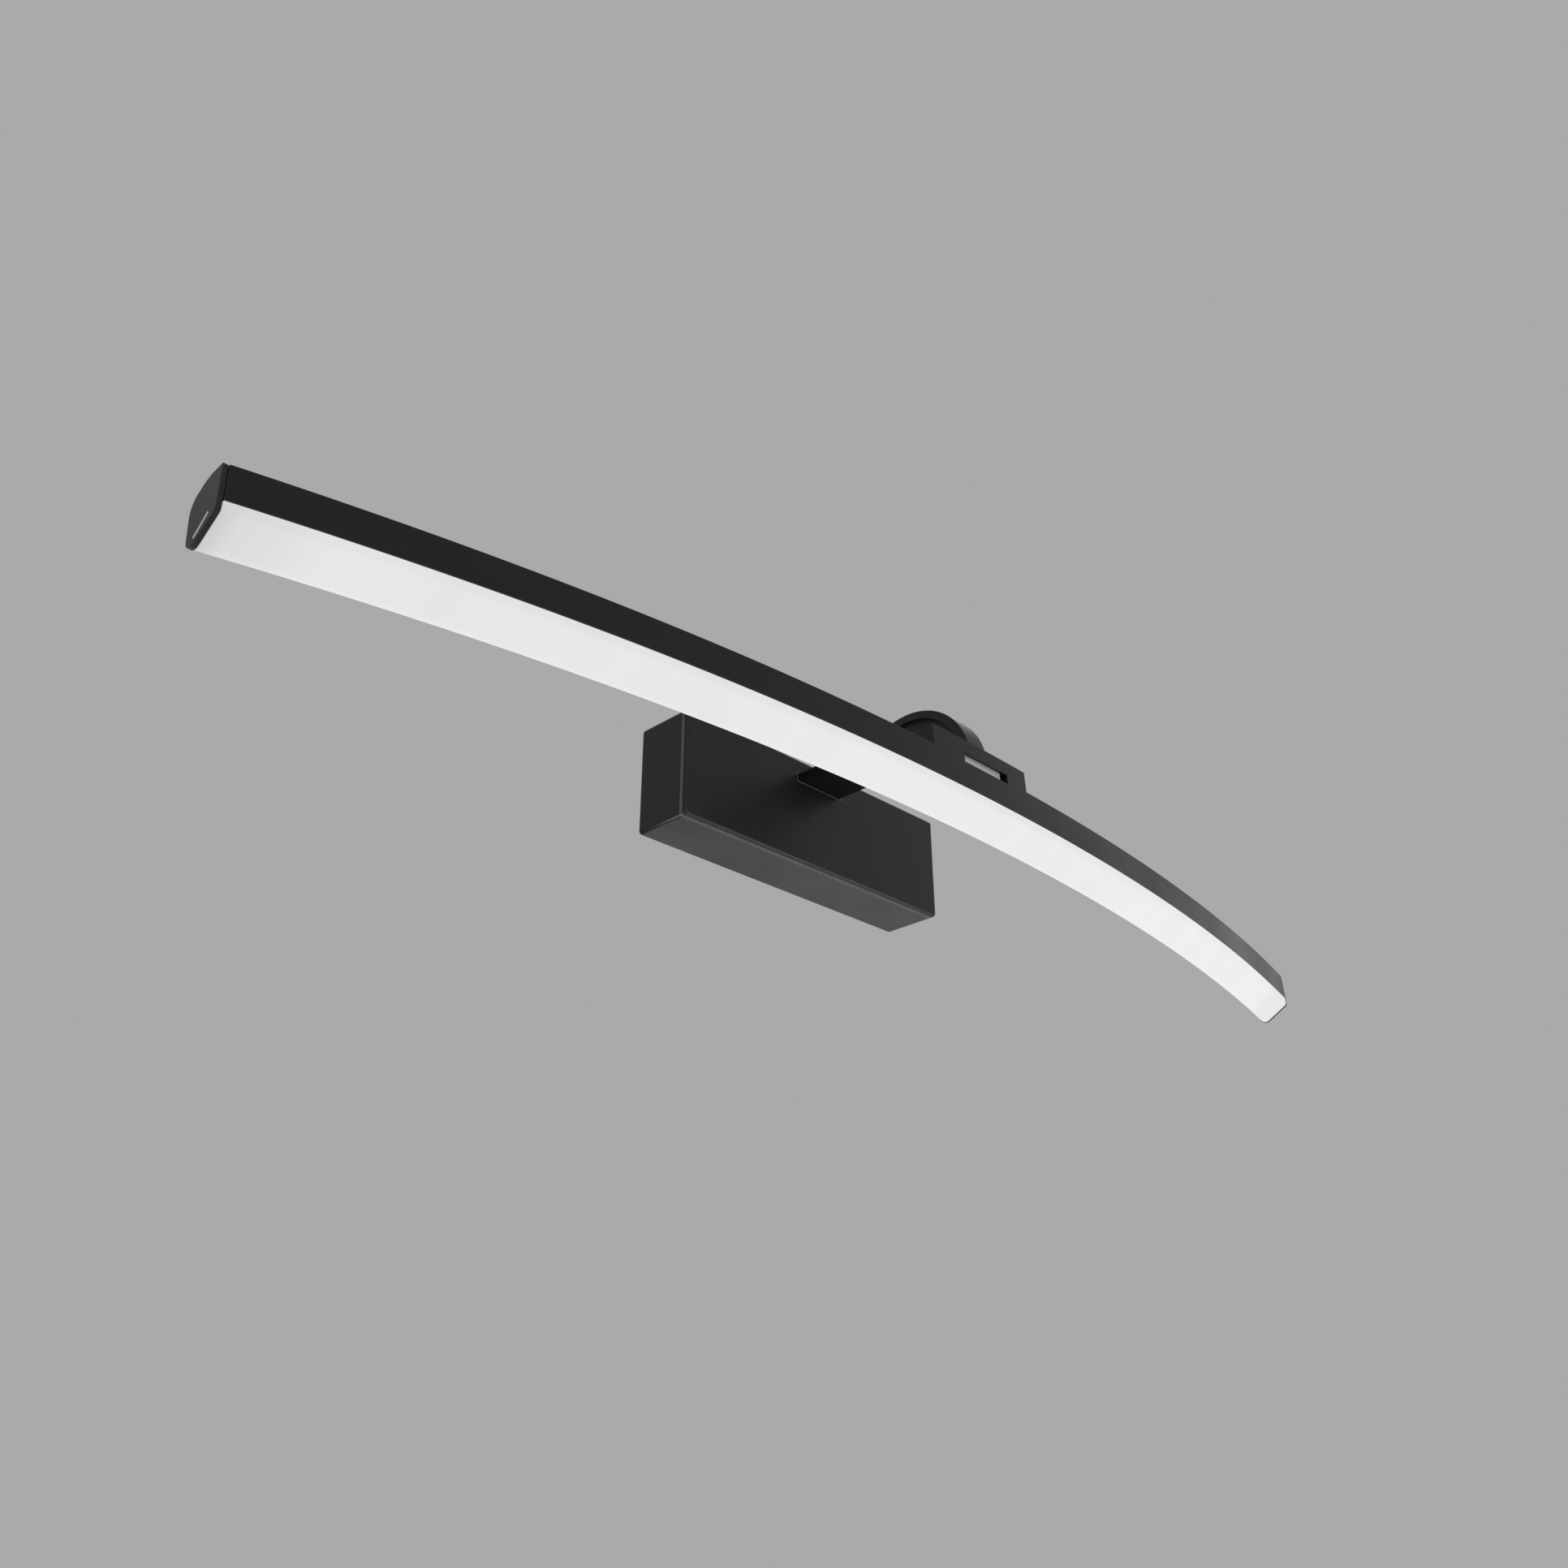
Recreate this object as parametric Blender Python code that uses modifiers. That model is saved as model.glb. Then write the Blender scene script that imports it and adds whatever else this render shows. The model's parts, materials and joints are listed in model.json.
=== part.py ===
"""Wall picture light: a curved LED bar that tilts on the end of a short arm from a rectangular base.

Frame: X runs along the wall, the wall is the plane Y = 0 and the light stands out towards -Y, +Z is up.
The origin is the middle of the base's back, on the wall. Lengths are in metres.
"""
import math

import bmesh
import bpy
from mathutils import Matrix, Vector

MM = 0.001
GAP = 0.3 * MM

# Base box
BASE_WIDTH = 140 * MM
BASE_HEIGHT = 43.5 * MM
BASE_DEPTH = 26.6 * MM
COVER_WALL = 1.2 * MM
PLATE_THICKNESS = 1.5 * MM
PLATE_WIDTH = 134 * MM
PLATE_HEIGHT = 38 * MM
WALL_SLOT_X = 58 * MM
CABLE_HOLE = Vector((20 * MM, 0, -11 * MM))

# Arm
ARM_WIDTH = 24 * MM
ARM_HEIGHT = 3.0 * MM
ARM_BOTTOM = 12.3 * MM
ARM_WALL = 1.2 * MM
ARM_BACK = -8 * MM
ARM_FRONT = -50 * MM

# Tilt joint: the axis runs along X through this point
PIVOT = Vector((0, -75.8 * MM, -4.5 * MM))
REST_TILT = math.radians(-3)
KNUCKLE_RADIUS = 28.8 * MM
KNUCKLE_WIDTH = 10 * MM
KNUCKLE_RIM = 3 * MM
HUB_RADIUS = 5.2 * MM
EYE_RADIUS = 4.8 * MM
BOLT_RADIUS = 2.0 * MM
WASHER_RADIUS = 4.6 * MM
WASHER_THICKNESS = 0.8 * MM
EAR_INNER = KNUCKLE_WIDTH / 2 + WASHER_THICKNESS + 2 * GAP

# Head, in the head's own frame: origin on the tilt axis, fascia upright
FRONT_Y = -29.9 * MM
BAR_TOP = -4.4 * MM
BAR_RADIUS = 1229 * MM
BAR_HALF_LENGTH = 272.5 * MM
FASCIA_HEIGHT = 11.4 * MM
FASCIA_WALL = 1.2 * MM
FLANGE_DEPTH = 5.5 * MM
TAB_HALF_WIDTH = 26.5 * MM
TAB_RISE = 8.3 * MM
SKIN = 1.2 * MM
CAP_THICKNESS = 1.6 * MM
TUBE_END = BAR_HALF_LENGTH - CAP_THICKNESS - GAP
END_ANGLE = math.asin(BAR_HALF_LENGTH / BAR_RADIUS)
SLOT_LEFT = -10 * MM
SLOT_RIGHT = 15 * MM
SLOT_BOTTOM = -5.3 * MM
SLOT_TOP = -1.4 * MM
SLOT_BAR_LEFT = -9.7 * MM
SLOT_BAR_RIGHT = 12.7 * MM
SLOT_BAR_HEIGHT = 3.4 * MM
SLOT_BAR_DEPTH = 3.9 * MM
CHIP_COUNT = 24

BLACK = ((0.012, 0.012, 0.014), 0.45, 0.0)
DARK_STEEL = ((0.03, 0.03, 0.032), 0.4, 0.6)
ZINC = ((0.62, 0.63, 0.65), 0.35, 1.0)
ALUMINIUM = ((0.80, 0.80, 0.82), 0.4, 1.0)
OPAL = ((0.90, 0.90, 0.91), 0.35, 0.0)
WHITE_BOARD = ((0.88, 0.88, 0.86), 0.5, 0.0)
WHITE_PLASTIC = ((0.85, 0.85, 0.83), 0.5, 0.0)
NYLON = ((0.16, 0.16, 0.17), 0.6, 0.0)
BRASS = ((0.75, 0.58, 0.30), 0.35, 1.0)

for old in list(bpy.data.objects):
    bpy.data.objects.remove(old, do_unlink=True)

parts = bpy.data.collections.new("picture_light")
cutters = bpy.data.collections.new("cutters")
bpy.context.scene.collection.children.link(parts)
bpy.context.scene.collection.children.link(cutters)

head = bpy.data.objects.new("head_pivot", None)
head.location = PIVOT
head.rotation_euler = (REST_TILT, 0, 0)
head.empty_display_size = 0.02
parts.objects.link(head)


def make_material(name, look):
    """A Principled material from (colour, roughness, metallic)."""
    colour, roughness, metallic = look
    made = bpy.data.materials.new(name)
    made.use_nodes = True
    shader = made.node_tree.nodes["Principled BSDF"]
    shader.inputs["Base Color"].default_value = (*colour, 1)
    shader.inputs["Roughness"].default_value = roughness
    shader.inputs["Metallic"].default_value = metallic
    return made


def make_object(name, mesh, look, parent=None, smooth=False):
    """Put a mesh in the parts collection with its own material."""
    made = bpy.data.objects.new(name, mesh)
    parts.objects.link(made)
    made.parent = parent
    mesh.materials.clear()
    mesh.materials.append(make_material(name, look))
    if smooth:
        mesh.shade_smooth()
        mesh.set_sharp_from_angle(angle=math.radians(35))
    return made


def mesh_from(bm, name):
    """Write a bmesh to a new mesh with its faces pointing out."""
    bmesh.ops.recalc_face_normals(bm, faces=bm.faces)
    mesh = bpy.data.meshes.new(name)
    bm.to_mesh(mesh)
    bm.free()
    return mesh


def block_mesh(name, low, high):
    """A box between two corners."""
    low = Vector(low)
    high = Vector(high)
    bm = bmesh.new()
    place = Matrix.Translation((low + high) / 2)
    scale = Matrix.Diagonal((*(high - low), 1))
    bmesh.ops.create_cube(bm, size=1, matrix=place @ scale)
    return mesh_from(bm, name)


def block(name, low, high, look, parent=None, bevel=0.0):
    """A box between two corners, with rounded edges where bevel isn't zero."""
    made = make_object(name, block_mesh(name, low, high), look, parent)
    if bevel:
        round_edges(made, bevel)
    return made


def round_edges(target, width, segments=2):
    """Round the sharp edges of a part."""
    modifier = target.modifiers.new("rounded_edges", "BEVEL")
    modifier.width = width
    modifier.segments = segments
    modifier.limit_method = "ANGLE"
    modifier.angle_limit = math.radians(40)


def turn_to(axis):
    """Rotation that takes +Z to the given axis."""
    return Vector((0, 0, 1)).rotation_difference(Vector(axis)).to_matrix().to_4x4()


def rod_mesh(name, radius, start, end, segments=24, radius_end=None):
    """A round bar between two points, or a cone with a second radius."""
    start = Vector(start)
    end = Vector(end)
    place = Matrix.Translation((start + end) / 2) @ turn_to((end - start).normalized())
    bm = bmesh.new()
    bmesh.ops.create_cone(bm, cap_ends=True, segments=segments, radius1=radius,
                          radius2=radius if radius_end is None else radius_end,
                          depth=(end - start).length, matrix=place)
    return mesh_from(bm, name)


def rod(name, radius, start, end, look, parent=None, segments=24):
    """A round bar between two points, as a part."""
    return make_object(name, rod_mesh(name, radius, start, end, segments), look, parent, smooth=True)


def apply_boolean(target, tool_mesh, operation):
    """Cut or join a mesh with a part; the cutter stays in its own collection."""
    tool = bpy.data.objects.new(target.name + "_" + operation.lower(), tool_mesh)
    cutters.objects.link(tool)
    tool.parent = target.parent
    tool.hide_render = True
    tool.display_type = "WIRE"
    modifier = target.modifiers.new(operation.lower(), "BOOLEAN")
    modifier.operation = operation
    modifier.solver = "EXACT"
    modifier.object = tool


def cut(target, tool_mesh):
    """Take a mesh out of a part."""
    apply_boolean(target, tool_mesh, "DIFFERENCE")


def join(target, tool_mesh):
    """Add a mesh to a part."""
    apply_boolean(target, tool_mesh, "UNION")


def plate_mesh(name, outline, x_low, x_high):
    """A flat outline of (y, z) points, thickened along X."""
    curve = bpy.data.curves.new(name, "CURVE")
    curve.dimensions = "2D"
    curve.fill_mode = "BOTH"
    curve.extrude = (x_high - x_low) / 2
    spline = curve.splines.new("POLY")
    spline.points.add(len(outline) - 1)
    for point, (y, z) in zip(spline.points, outline):
        point.co = (y, z, 0, 1)
    spline.use_cyclic_u = True
    holder = bpy.data.objects.new(name, curve)
    parts.objects.link(holder)
    bpy.context.view_layer.update()
    evaluated = holder.evaluated_get(bpy.context.evaluated_depsgraph_get())
    mesh = bpy.data.meshes.new_from_object(evaluated)
    bpy.data.objects.remove(holder, do_unlink=True)
    bpy.data.curves.remove(curve)
    upright = Matrix(((0, 0, 1, (x_low + x_high) / 2), (1, 0, 0, 0), (0, 1, 0, 0), (0, 0, 0, 1)))
    mesh.transform(upright)
    bm = bmesh.new()
    bm.from_mesh(mesh)
    bpy.data.meshes.remove(mesh)
    bmesh.ops.remove_doubles(bm, verts=bm.verts, dist=0.01 * MM)
    return mesh_from(bm, name)


def arc(centre, radius, start, stop, steps):
    """Points on a circle, with angles in degrees."""
    angles = [math.radians(start + (stop - start) * i / steps) for i in range(steps + 1)]
    return [(centre[0] + radius * math.cos(a), centre[1] + radius * math.sin(a)) for a in angles]


# The bar: sections are (out, up) points from the fascia's top front edge, swept round the bar's arc

def bar_place(angle):
    """Where a section stands on the arc, from its (out, up) plane to the head's frame."""
    centre = Vector((0, FRONT_Y + BAR_RADIUS, BAR_TOP))
    out = Vector((math.sin(angle), -math.cos(angle), 0))
    tangent = Vector((math.cos(angle), math.sin(angle), 0))
    origin = centre + out * BAR_RADIUS
    place = Matrix((tangent, out, Vector((0, 0, 1)))).transposed().to_4x4()
    place.translation = origin
    return place


def spin_section(bm, geometry, stretches):
    """Sweep geometry along the arc; stretches are (angle, steps) pairs. Returns the last section."""
    centre = (0, FRONT_Y + BAR_RADIUS, BAR_TOP)
    for angle, steps in stretches:
        swept = bmesh.ops.spin(bm, geom=geometry, cent=centre, axis=(0, 0, 1), angle=angle, steps=steps)
        geometry = swept["geom_last"]
    return geometry


def swept_solid(outline, start, stretches):
    """A solid bar with the given section."""
    bm = bmesh.new()
    place = bar_place(start)
    corners = [bm.verts.new(place @ Vector((0, out, up))) for out, up in outline]
    face = bm.faces.new(corners)
    spin_section(bm, [face] + list(face.edges) + corners, stretches)
    return bm


def swept_skin(name, outline, start, stretches):
    """An open tube surface with the given closed section."""
    bm = bmesh.new()
    place = bar_place(start)
    corners = [bm.verts.new(place @ Vector((0, out, up))) for out, up in outline]
    edges = [bm.edges.new((corners[i - 1], corners[i])) for i in range(len(corners))]
    spin_section(bm, edges + corners, stretches)
    return mesh_from(bm, name)


TAB_ANGLE = TAB_HALF_WIDTH / (BAR_RADIUS - FASCIA_WALL)
FULL_SWEEP = [(END_ANGLE - TAB_ANGLE, 13), (2 * TAB_ANGLE, 4), (END_ANGLE - TAB_ANGLE, 13)]

LIP_TOP = -FASCIA_HEIGHT - GAP
FRONT_ROUND = arc((-1.9 * MM, LIP_TOP - 1.9 * MM), 1.9 * MM, 0, -59, 4)
BOTTOM_ROUND = arc((-11.2 * MM, -17.0 * MM), 3.2 * MM, -59, -174, 5)
BACK_ROUND = arc((-8.8 * MM, -8.0 * MM), 6.5 * MM, -174, -270, 6)
TUBE_FRONT = -FASCIA_WALL - GAP
TUBE_OUTLINE = ([(0, LIP_TOP)] + FRONT_ROUND + BOTTOM_ROUND + BACK_ROUND
                + [(-3.0 * MM, -1.5 * MM), (TUBE_FRONT, -3.0 * MM), (TUBE_FRONT, LIP_TOP)])
CAP_OUTLINE = ([(0, 0)] + FRONT_ROUND + BOTTOM_ROUND + BACK_ROUND[:-1]
               + [(-9.4 * MM, -1.0 * MM), (-FLANGE_DEPTH, 0)])
SPIGOT_OUTLINE = ([(-3.3 * MM, -4.4 * MM), (-3.3 * MM, -14.4 * MM)]
                  + arc((-11.2 * MM, -17.0 * MM), 1.2 * MM, -59, -174, 2)
                  + arc((-8.8 * MM, -8.0 * MM), 4.6 * MM, -174, -255, 6)
                  + [(-8.8 * MM, -3.5 * MM), (-4.2 * MM, -3.5 * MM)])


def trim_beyond(target, x):
    """Cut a part off square to X, on the far side of x."""
    far = math.copysign(0.4, x)
    cut(target, block_mesh("end_trim", (min(x, far), -0.1, -0.1), (max(x, far), 0.1, 0.1)))


def end_plate(name, outline, x_near, x_far):
    """A flat plate with the bar's section at its end."""
    centre_y = FRONT_Y + BAR_RADIUS
    points = []
    for out, up in outline:
        reach = math.sqrt((BAR_RADIUS + out) ** 2 - BAR_HALF_LENGTH ** 2)
        points.append((centre_y - reach, BAR_TOP + up))
    return plate_mesh(name, points, min(x_near, x_far), max(x_near, x_far))


def make_fascia():
    """Black L-shaped strip along the bar's front, with a raised tab and a slot at its middle."""
    outline = [(0, 0), (0, -FASCIA_HEIGHT), (-FASCIA_WALL, -FASCIA_HEIGHT), (-FASCIA_WALL, -FASCIA_WALL),
               (-FLANGE_DEPTH, -FASCIA_WALL), (-FLANGE_DEPTH, 0), (-FASCIA_WALL, 0)]
    bm = swept_solid(outline, -END_ANGLE, FULL_SWEEP)
    bmesh.ops.recalc_face_normals(bm, faces=bm.faces)
    bm.normal_update()
    strip = []
    for face in bm.faces:
        middle = face.calc_center_median()
        if face.normal.z > 0.9 and middle.y < FRONT_Y + 0.9 * MM and abs(middle.x) < TAB_HALF_WIDTH:
            strip.append(face)
    raised = bmesh.ops.extrude_face_region(bm, geom=strip)["geom"]
    bmesh.ops.delete(bm, geom=strip, context="FACES")
    tops = [v for v in raised if isinstance(v, bmesh.types.BMVert)]
    bmesh.ops.translate(bm, verts=tops, vec=(0, 0, TAB_RISE))
    made = make_object("fascia", mesh_from(bm, "fascia"), BLACK, head)
    trim_beyond(made, -TUBE_END)
    trim_beyond(made, TUBE_END)
    cut(made, block_mesh("slot", (SLOT_LEFT, FRONT_Y - 2 * MM, SLOT_BOTTOM),
                         (SLOT_RIGHT, FRONT_Y + FASCIA_WALL + 0.15 * MM, SLOT_TOP)))
    return made


def make_diffuser():
    """Opal tube behind and below the fascia, open at both ends."""
    mesh = swept_skin("diffuser", TUBE_OUTLINE, -END_ANGLE, FULL_SWEEP)
    made = make_object("diffuser", mesh, OPAL, head, smooth=True)
    wall = made.modifiers.new("wall", "SOLIDIFY")
    wall.thickness = SKIN
    wall.offset = -1
    wall.use_even_offset = True
    trim_beyond(made, -TUBE_END)
    trim_beyond(made, TUBE_END)
    return made


def make_end_caps():
    """Black caps, each held by a spigot pressed into the tube."""
    for side, name in ((-1, "left"), (1, "right")):
        inner = side * (BAR_HALF_LENGTH - CAP_THICKNESS)
        outer = side * BAR_HALF_LENGTH
        spigot = swept_solid(SPIGOT_OUTLINE, side * END_ANGLE, [(-side * 9 * MM / BAR_RADIUS, 1)])
        cap = make_object("end_cap_" + name, mesh_from(spigot, "end_cap_" + name), BLACK, head)
        trim_beyond(cap, inner + side * 0.3 * MM)
        join(cap, end_plate("end_plate", CAP_OUTLINE, inner, outer))


def make_screw(name, seat, out, head_radius, head_height, shank_radius, length, parent=None, look=DARK_STEEL):
    """A pan-head screw: seat is the middle of its head's underside, out points away from the hole."""
    seat = Vector(seat) + Vector(out) * 0.1 * MM
    out = Vector(out)
    made = make_object(name, rod_mesh(name, head_radius, seat, seat + out * head_height, 20,
                                      head_radius * 0.8), look, parent, smooth=True)
    join(made, rod_mesh(name + "_shank", shank_radius, seat + out * head_height / 2, seat - out * length, 16))
    sideways = out.orthogonal().normalized()
    across = out.cross(sideways)
    tip = seat + out * head_height
    slot = bmesh.new()
    size = Matrix((sideways, across, out)).transposed().to_4x4()
    size.translation = tip
    scale = Matrix.Diagonal((head_radius * 1.2, head_radius * 0.25, head_height, 1))
    bmesh.ops.create_cube(slot, size=1, matrix=size @ scale)
    cut(made, mesh_from(slot, name + "_slot"))
    return made


def make_led_parts():
    """Aluminium carrier rail inside the tube, and the LED board with its chips on it."""
    inner_angle = END_ANGLE - 11 * MM / BAR_RADIUS
    rail = [(-3.2 * MM, -4.2 * MM), (-3.2 * MM, -12.4 * MM), (-4.2 * MM, -12.4 * MM),
            (-4.2 * MM, -5.4 * MM), (-11.0 * MM, -5.4 * MM), (-11.0 * MM, -4.2 * MM)]
    bm = swept_solid(rail, -inner_angle, [(2 * inner_angle, 26)])
    make_object("led_carrier", mesh_from(bm, "led_carrier"), ALUMINIUM, head)
    board = [(-4.5 * MM, -5.8 * MM), (-4.5 * MM, -12.2 * MM), (-5.1 * MM, -12.2 * MM),
             (-5.1 * MM, -10.4 * MM), (-5.1 * MM, -7.6 * MM), (-5.1 * MM, -5.8 * MM)]
    pitch = 2 * inner_angle / CHIP_COUNT
    chip = 3.5 * MM / BAR_RADIUS
    stretches = [((pitch - chip) / 2, 1)] + [(chip, 1), (pitch - chip, 1)] * (CHIP_COUNT - 1)
    stretches += [(chip, 1), ((pitch - chip) / 2, 1)]
    bm = swept_solid(board, -inner_angle, stretches)
    bmesh.ops.recalc_face_normals(bm, faces=bm.faces)
    bm.normal_update()
    chips = []
    for face in bm.faces:
        middle = face.calc_center_median()
        on_band = abs(middle.z - BAR_TOP + 9.0 * MM) < 0.2 * MM and face.normal.y > 0.5
        if on_band and face.calc_area() < 4 * MM * 3 * MM:
            chips.append(face)
    raised = bmesh.ops.extrude_discrete_faces(bm, faces=chips)["faces"]
    for face in raised:
        bmesh.ops.translate(bm, verts=face.verts, vec=face.normal * 0.7 * MM)
    make_object("led_strip", mesh_from(bm, "led_strip"), WHITE_BOARD, head)


def knuckle_outline():
    """Half-moon of the tilt knuckle with its foot on the bar, as (y, z) in the head's frame."""
    rim = arc((0, 0), KNUCKLE_RADIUS, 188, 78, 22)
    hub = arc((0, 0), HUB_RADIUS, 20, -50, 5)
    foot = BAR_TOP + GAP
    return rim + [(6.4 * MM, 12 * MM)] + hub + [(-8 * MM, foot), (-KNUCKLE_RADIUS * 0.985, foot)]


def make_head_bracket():
    """Half-moon knuckle on a wide saddle behind the fascia's tab."""
    bracket = make_object("head_bracket", plate_mesh("head_bracket", knuckle_outline(), -KNUCKLE_WIDTH / 2,
                                                     KNUCKLE_WIDTH / 2), BLACK, head, smooth=True)
    for side in (-1, 1):
        recess_floor = (side * 3.4 * MM, 0, 0)
        beyond = (side * 6 * MM, 0, 0)
        cut(bracket, rod_mesh("recess", KNUCKLE_RADIUS - KNUCKLE_RIM, recess_floor, beyond, 64))
    half = KNUCKLE_WIDTH / 2
    join(bracket, rod_mesh("hub", HUB_RADIUS - 0.1 * MM, (-half, 0, 0), (half, 0, 0), 32))
    foot = BAR_TOP + GAP
    saddle_front = FRONT_Y + FASCIA_WALL + 2 * GAP
    saddle = [(saddle_front, foot), (saddle_front, 3.0 * MM), (-16.9 * MM, 5.0 * MM), (-16.0 * MM, 4.0 * MM),
              (-16.0 * MM, foot)]
    cut(bracket, block_mesh("tab_room", (-10 * MM, -40 * MM, -10 * MM), (10 * MM, saddle_front, 4.3 * MM)))
    join(bracket, plate_mesh("saddle", saddle, -TAB_HALF_WIDTH + GAP, TAB_HALF_WIDTH - GAP))
    cut(bracket, rod_mesh("bolt_hole", BOLT_RADIUS + 0.25 * MM, (-0.02, 0, 0), (0.02, 0, 0)))
    pocket_low = (SLOT_LEFT - GAP, FRONT_Y, foot - MM)
    pocket_high = (SLOT_RIGHT + GAP, FRONT_Y + FASCIA_WALL + 4.6 * MM, SLOT_TOP + 1.1 * MM)
    cut(bracket, block_mesh("pocket", pocket_low, pocket_high))
    for x in (-20.5 * MM, 20.5 * MM):
        cut(bracket, rod_mesh("screw_hole", 1.5 * MM, (x, -22 * MM, 0.01), (x, -22 * MM, -0.01), 16))
        cut(bracket, rod_mesh("screw_seat", 3 * MM, (x, -22 * MM, 0.01), (x, -22 * MM, 2.0 * MM), 20))
    return bracket


def make_head_fasteners():
    """Bright bar behind the fascia's slot, and the two screws that clamp the bracket to the carrier rail."""
    bar_low = Vector((SLOT_BAR_LEFT, FRONT_Y + FASCIA_WALL + 0.4 * MM, BAR_TOP + GAP))
    bar_high = (SLOT_BAR_RIGHT, bar_low.y + SLOT_BAR_DEPTH, bar_low.z + SLOT_BAR_HEIGHT)
    block("slot_bar", bar_low, bar_high, ZINC, head, bevel=0.3 * MM)
    for x, name in ((-20.5 * MM, "left"), (20.5 * MM, "right")):
        for target in ("diffuser", "led_carrier"):
            cut(bpy.data.objects[target], rod_mesh("screw_hole", 1.5 * MM, (x, -22 * MM, -4.6 * MM),
                                                   (x, -22 * MM, -12 * MM), 16))
        make_screw("bracket_screw_" + name, (x, -22 * MM, 2.0 * MM), (0, 0, 1), 2.6 * MM, 1.4 * MM, 1.25 * MM,
                   13 * MM, head)


def make_yoke():
    """Fork on the arm's end: two ears that hold the tilt bolt, on a tongue that lies in the arm's channel."""
    arm_top = ARM_BOTTOM + ARM_HEIGHT
    eye = arc((PIVOT.y, PIVOT.z), EYE_RADIUS, 175, 330, 10)
    neck = [(PIVOT.y + 13.5 * MM, ARM_BOTTOM - MM), (PIVOT.y + 19 * MM, ARM_BOTTOM),
            (ARM_FRONT - GAP, ARM_BOTTOM), (ARM_FRONT - GAP, arm_top), (PIVOT.y + 13 * MM, arm_top),
            (PIVOT.y + 6.5 * MM, arm_top - 6 * MM)]
    mesh = plate_mesh("yoke", eye + neck, -ARM_WIDTH / 2, ARM_WIDTH / 2)
    yoke = make_object("yoke", mesh, BLACK, smooth=True)
    inner = ARM_WALL + GAP
    tongue = block_mesh("tongue", (-ARM_WIDTH / 2 + inner, ARM_FRONT - 2 * MM, ARM_BOTTOM + inner),
                        (ARM_WIDTH / 2 - inner, ARM_FRONT + 10 * MM, arm_top))
    join(yoke, tongue)
    sweep_radius = KNUCKLE_RADIUS + 0.8 * MM
    side = Vector((EAR_INNER, 0, 0))
    cut(yoke, rod_mesh("knuckle_room", sweep_radius, PIVOT - side, PIVOT + side, 64))
    through = Vector((0.02, 0, 0))
    cut(yoke, rod_mesh("bolt_hole", BOLT_RADIUS + 0.25 * MM, PIVOT - through, PIVOT + through))
    way_low = (-3.4 * MM, ARM_FRONT + 2 * MM, ARM_BOTTOM)
    cut(yoke, block_mesh("wire_way", way_low, (3.4 * MM, ARM_FRONT + 12 * MM, 0.03)))
    for x in (-7 * MM, 7 * MM):
        y = ARM_FRONT + 5 * MM
        cut(yoke, rod_mesh("screw_hole", 1.1 * MM, (x, y, 0.03), (x, y, 0), 12))
    return yoke


def make_arm():
    """Shallow channel from the base to the yoke, open at the top, with the yoke's two screws."""
    top = ARM_BOTTOM + ARM_HEIGHT
    low = Vector((-ARM_WIDTH / 2, ARM_FRONT, ARM_BOTTOM))
    arm = block("arm", low, (ARM_WIDTH / 2, ARM_BACK, top), BLACK, bevel=0.5 * MM)
    channel_low = low + Vector((ARM_WALL, -5 * MM, ARM_WALL))
    cut(arm, block_mesh("channel", channel_low, (ARM_WIDTH / 2 - ARM_WALL, 0, 0.03)))
    for x, name in ((-7 * MM, "left"), (7 * MM, "right")):
        y = ARM_FRONT + 5 * MM
        cut(arm, rod_mesh("screw_hole", 1.1 * MM, (x, y, top), (x, y, 0), 12))
        make_screw("yoke_screw_" + name, (x, y, top), (0, 0, 1), 1.9 * MM, 1.0 * MM, 0.8 * MM, 2.9 * MM)
    return arm


def make_tilt_bolt():
    """Bolt, friction washers and nut of the tilt joint."""
    y = PIVOT.y
    z = PIVOT.z
    outside = ARM_WIDTH / 2 + GAP
    bolt = rod("tilt_bolt", 4.2 * MM, (-outside - 2.2 * MM, y, z), (-outside, y, z), DARK_STEEL)
    round_edges(bolt, 0.5 * MM)
    join(bolt, rod_mesh("shank", BOLT_RADIUS, (-outside - MM, y, z), (outside + 3.4 * MM, y, z)))
    cut(bolt, rod_mesh("hex_socket", 1.5 * MM, (-outside - 5 * MM, y, z), (-outside - 0.9 * MM, y, z), 6))
    nut = rod("tilt_nut", 4.0 * MM, (outside, y, z), (outside + 3.0 * MM, y, z), DARK_STEEL, segments=6)
    cut(nut, rod_mesh("thread", BOLT_RADIUS + 0.2 * MM, (outside - MM, y, z), (outside + 9 * MM, y, z)))
    for side, name in ((-1, "left"), (1, "right")):
        inner = side * (KNUCKLE_WIDTH / 2 + GAP)
        outer = inner + side * WASHER_THICKNESS
        washer = rod("friction_washer_" + name, WASHER_RADIUS, (inner, y, z), (outer, y, z), NYLON)
        cut(washer, rod_mesh("hole", BOLT_RADIUS + 0.2 * MM, (inner - 0.002 * side, y, z),
                             (outer + 0.002 * side, y, z)))


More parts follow.
